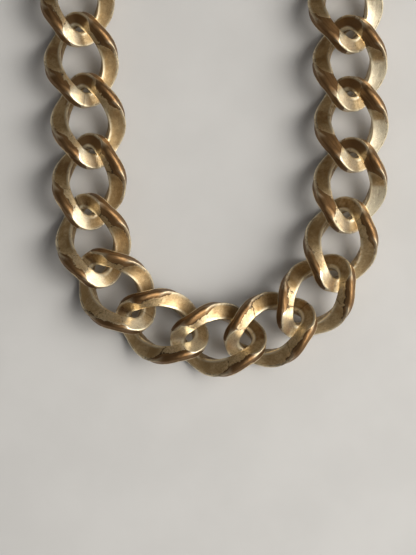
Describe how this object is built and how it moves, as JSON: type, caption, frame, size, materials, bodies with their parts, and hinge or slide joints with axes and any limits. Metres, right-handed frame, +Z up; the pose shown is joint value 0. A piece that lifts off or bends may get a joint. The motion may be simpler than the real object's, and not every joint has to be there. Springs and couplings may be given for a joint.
{
  "type": "curb chain necklace",
  "caption": "Chunky curb-chain necklace in aged gold plate, unfastened, with a lobster clasp and jump rings, laid flat in a U.",
  "frame": {"origin": "centre of the laid necklace on the surface it lies on", "axes": "+Y from the bottom of the U towards the two ends, +X to the right seen from above, +Z up off the surface"},
  "size_m": [0.1032, 0.2202, 0.0084],
  "materials": {
    "aged_gold_plate": "satin",
    "worn_brass": "gloss",
    "spring_steel": "satin"
  },
  "bodies": {
    "clasp_body": {"clasp_body": "aged_gold_plate", "clasp_pin": "spring_steel", "clasp_spring": "spring_steel"},
    "clasp_gate": {"clasp_gate": "worn_brass"},
    "jump_ring_left": {"jump_ring_left": "aged_gold_plate"},
    "jump_ring_right": {"jump_ring_right": "aged_gold_plate"},
    "link_centre": {"link_centre": "aged_gold_plate"},
    "link_left_01": {"link_left_01": "aged_gold_plate"},
    "link_left_02": {"link_left_02": "aged_gold_plate"},
    "link_left_03": {"link_left_03": "aged_gold_plate"},
    "link_left_04": {"link_left_04": "aged_gold_plate"},
    "link_left_05": {"link_left_05": "aged_gold_plate"},
    "link_left_06": {"link_left_06": "aged_gold_plate"},
    "link_left_07": {"link_left_07": "aged_gold_plate"},
    "link_left_08": {"link_left_08": "aged_gold_plate"},
    "link_left_09": {"link_left_09": "aged_gold_plate"},
    "link_left_10": {"link_left_10": "aged_gold_plate"},
    "link_left_11": {"link_left_11": "aged_gold_plate"},
    "link_left_12": {"link_left_12": "aged_gold_plate"},
    "link_left_13": {"link_left_13": "aged_gold_plate"},
    "link_left_14": {"link_left_14": "aged_gold_plate"},
    "link_left_15": {"link_left_15": "aged_gold_plate"},
    "link_left_16": {"link_left_16": "aged_gold_plate"},
    "link_right_01": {"link_right_01": "aged_gold_plate"},
    "link_right_02": {"link_right_02": "aged_gold_plate"},
    "link_right_03": {"link_right_03": "aged_gold_plate"},
    "link_right_04": {"link_right_04": "aged_gold_plate"},
    "link_right_05": {"link_right_05": "aged_gold_plate"},
    "link_right_06": {"link_right_06": "aged_gold_plate"},
    "link_right_07": {"link_right_07": "aged_gold_plate"},
    "link_right_08": {"link_right_08": "aged_gold_plate"},
    "link_right_09": {"link_right_09": "aged_gold_plate"},
    "link_right_10": {"link_right_10": "aged_gold_plate"},
    "link_right_11": {"link_right_11": "aged_gold_plate"},
    "link_right_12": {"link_right_12": "aged_gold_plate"},
    "link_right_13": {"link_right_13": "aged_gold_plate"},
    "link_right_14": {"link_right_14": "aged_gold_plate"},
    "link_right_15": {"link_right_15": "aged_gold_plate"},
    "link_right_16": {"link_right_16": "aged_gold_plate"}
  },
  "joints": [
    {"name": "right_01_fold", "type": "hinge", "parent": "link_centre", "child": "link_right_01", "pos_m": [0.00649, -0.10294, 0.00422], "axis": [-0.1564, 0.9877, 0], "range_deg": [-12, 30]},
    {"name": "right_02_sway", "type": "hinge", "parent": "link_right_01", "child": "link_right_02", "pos_m": [0.01732, -0.09879, 0.00422], "axis": [0, 0, -1], "range_deg": [-15, 30]},
    {"name": "right_03_fold", "type": "hinge", "parent": "link_right_02", "child": "link_right_03", "pos_m": [0.02496, -0.08967, 0.00422], "axis": [0.8988, -0.4384, 0], "range_deg": [-30, 22]},
    {"name": "right_04_sway", "type": "hinge", "parent": "link_right_03", "child": "link_right_04", "pos_m": [0.02746, -0.07793, 0.00422], "axis": [0, 0, 1], "range_deg": [-30, 27]},
    {"name": "right_05_fold", "type": "hinge", "parent": "link_right_04", "child": "link_right_05", "pos_m": [0.02874, -0.0657, 0.00422], "axis": [-0.9997, 0.0262, 0], "range_deg": [-30, 30]},
    {"name": "right_06_sway", "type": "hinge", "parent": "link_right_05", "child": "link_right_06", "pos_m": [0.02811, -0.05352, 0.00422], "axis": [0, 0, -1], "range_deg": [-30, 30]},
    {"name": "right_07_fold", "type": "hinge", "parent": "link_right_06", "child": "link_right_07", "pos_m": [0.02811, -0.04192, 0.00422], "axis": [0.9976, 0.0698, 0], "range_deg": [-30, 30]},
    {"name": "right_08_sway", "type": "hinge", "parent": "link_right_07", "child": "link_right_08", "pos_m": [0.02641, -0.02984, 0.00422], "axis": [0, 0, 1], "range_deg": [-30, 30]},
    {"name": "right_09_fold", "type": "hinge", "parent": "link_right_08", "child": "link_right_09", "pos_m": [0.02641, -0.01764, 0.00422], "axis": [-0.9976, 0.0698, 0], "range_deg": [-30, 30]},
    {"name": "right_10_sway", "type": "hinge", "parent": "link_right_09", "child": "link_right_10", "pos_m": [0.02811, -0.00556, 0.00422], "axis": [0, 0, -1], "range_deg": [-30, 30]},
    {"name": "right_11_fold", "type": "hinge", "parent": "link_right_10", "child": "link_right_11", "pos_m": [0.03106, 0.00628, 0.00422], "axis": [0.9613, -0.2756, 0], "range_deg": [-30, 30]},
    {"name": "right_12_sway", "type": "hinge", "parent": "link_right_11", "child": "link_right_12", "pos_m": [0.03483, 0.01788, 0.00422], "axis": [0, 0, 1], "range_deg": [-30, 30]},
    {"name": "right_13_fold", "type": "hinge", "parent": "link_right_12", "child": "link_right_13", "pos_m": [0.0386, 0.02949, 0.00422], "axis": [-0.9613, 0.2756, 0], "range_deg": [-30, 30]},
    {"name": "right_14_sway", "type": "hinge", "parent": "link_right_13", "child": "link_right_14", "pos_m": [0.04155, 0.04133, 0.00422], "axis": [0, 0, -1], "range_deg": [-30, 30]},
    {"name": "right_15_fold", "type": "hinge", "parent": "link_right_14", "child": "link_right_15", "pos_m": [0.04325, 0.05341, 0.00422], "axis": [0.9962, -0.0872, 0], "range_deg": [-30, 30]},
    {"name": "right_16_sway", "type": "hinge", "parent": "link_right_15", "child": "link_right_16", "pos_m": [0.04367, 0.0656, 0.00422], "axis": [0, 0, 1], "range_deg": [-30, 30]},
    {"name": "ring_right_swing", "type": "hinge", "parent": "link_right_16", "child": "jump_ring_right", "pos_m": [0.04492, 0.07984, 0.00422], "axis": [0.7044, -0.0616, 0.7071], "range_deg": [-35, 35]},
    {"name": "left_01_fold", "type": "hinge", "parent": "link_centre", "child": "link_left_01", "pos_m": [-0.0039, -0.1024, 0.00422], "axis": [0.225, 0.9744, 0], "range_deg": [-30, 30]},
    {"name": "left_02_sway", "type": "hinge", "parent": "link_left_01", "child": "link_left_02", "pos_m": [-0.01486, -0.09775, 0.00422], "axis": [0, 0, 1], "range_deg": [-19, 30]},
    {"name": "left_03_fold", "type": "hinge", "parent": "link_left_02", "child": "link_left_03", "pos_m": [-0.02203, -0.08889, 0.00422], "axis": [-0.9026, -0.4305, 0], "range_deg": [-30, 17]},
    {"name": "left_04_sway", "type": "hinge", "parent": "link_left_03", "child": "link_left_04", "pos_m": [-0.02452, -0.07715, 0.00422], "axis": [0, 0, -1], "range_deg": [-30, 26]},
    {"name": "left_05_fold", "type": "hinge", "parent": "link_left_04", "child": "link_left_05", "pos_m": [-0.02367, -0.06498, 0.00422], "axis": [0.9998, 0.0175, 0], "range_deg": [-30, 30]},
    {"name": "left_06_sway", "type": "hinge", "parent": "link_left_05", "child": "link_left_06", "pos_m": [-0.02496, -0.05275, 0.00422], "axis": [0, 0, 1], "range_deg": [-30, 30]},
    {"name": "left_07_fold", "type": "hinge", "parent": "link_left_06", "child": "link_left_07", "pos_m": [-0.02646, -0.04054, 0.00422], "axis": [-0.9981, -0.061, 0], "range_deg": [-30, 30]},
    {"name": "left_08_sway", "type": "hinge", "parent": "link_left_07", "child": "link_left_08", "pos_m": [-0.02646, -0.02834, 0.00422], "axis": [0, 0, -1], "range_deg": [-30, 30]},
    {"name": "left_09_fold", "type": "hinge", "parent": "link_left_08", "child": "link_left_09", "pos_m": [-0.02773, -0.01621, 0.00422], "axis": [0.9877, 0.1564, 0], "range_deg": [-30, 30]},
    {"name": "left_10_sway", "type": "hinge", "parent": "link_left_09", "child": "link_left_10", "pos_m": [-0.03027, -0.00428, 0.00422], "axis": [0, 0, 1], "range_deg": [-30, 30]},
    {"name": "left_11_fold", "type": "hinge", "parent": "link_left_10", "child": "link_left_11", "pos_m": [-0.03363, 0.00745, 0.00422], "axis": [-0.9613, -0.2756, 0], "range_deg": [-30, 30]},
    {"name": "left_12_sway", "type": "hinge", "parent": "link_left_11", "child": "link_left_12", "pos_m": [-0.037, 0.01918, 0.00422], "axis": [0, 0, -1], "range_deg": [-30, 30]},
    {"name": "left_13_fold", "type": "hinge", "parent": "link_left_12", "child": "link_left_13", "pos_m": [-0.04036, 0.03091, 0.00422], "axis": [0.9703, 0.2419, 0], "range_deg": [-30, 30]},
    {"name": "left_14_sway", "type": "hinge", "parent": "link_left_13", "child": "link_left_14", "pos_m": [-0.04289, 0.04284, 0.00422], "axis": [0, 0, 1], "range_deg": [-30, 30]},
    {"name": "left_15_fold", "type": "hinge", "parent": "link_left_14", "child": "link_left_15", "pos_m": [-0.04417, 0.05497, 0.00422], "axis": [-0.9986, -0.0523, 0], "range_deg": [-30, 30]},
    {"name": "left_16_sway", "type": "hinge", "parent": "link_left_15", "child": "link_left_16", "pos_m": [-0.04417, 0.06717, 0.00422], "axis": [0, 0, -1], "range_deg": [-30, 30]},
    {"name": "ring_left_swing", "type": "hinge", "parent": "link_left_16", "child": "jump_ring_left", "pos_m": [-0.04417, 0.08147, 0.00422], "axis": [0.7071, 0, 0.7071], "range_deg": [-35, 35]},
    {"name": "clasp_swing", "type": "hinge", "parent": "jump_ring_left", "child": "clasp_body", "pos_m": [-0.04417, 0.08607, 0.00406], "axis": [-0.5299, 0.0296, 0.8475], "range_deg": [-30, 30]},
    {"name": "gate_pivot", "type": "hinge", "parent": "clasp_body", "child": "clasp_gate", "pos_m": [-0.04177, 0.093, 0.00351], "axis": [0, 0.0785, 0.9969], "range_deg": [0, 32], "stiffness_Nm_per_rad": 0.015, "springref_deg": -17.19}
  ]
}
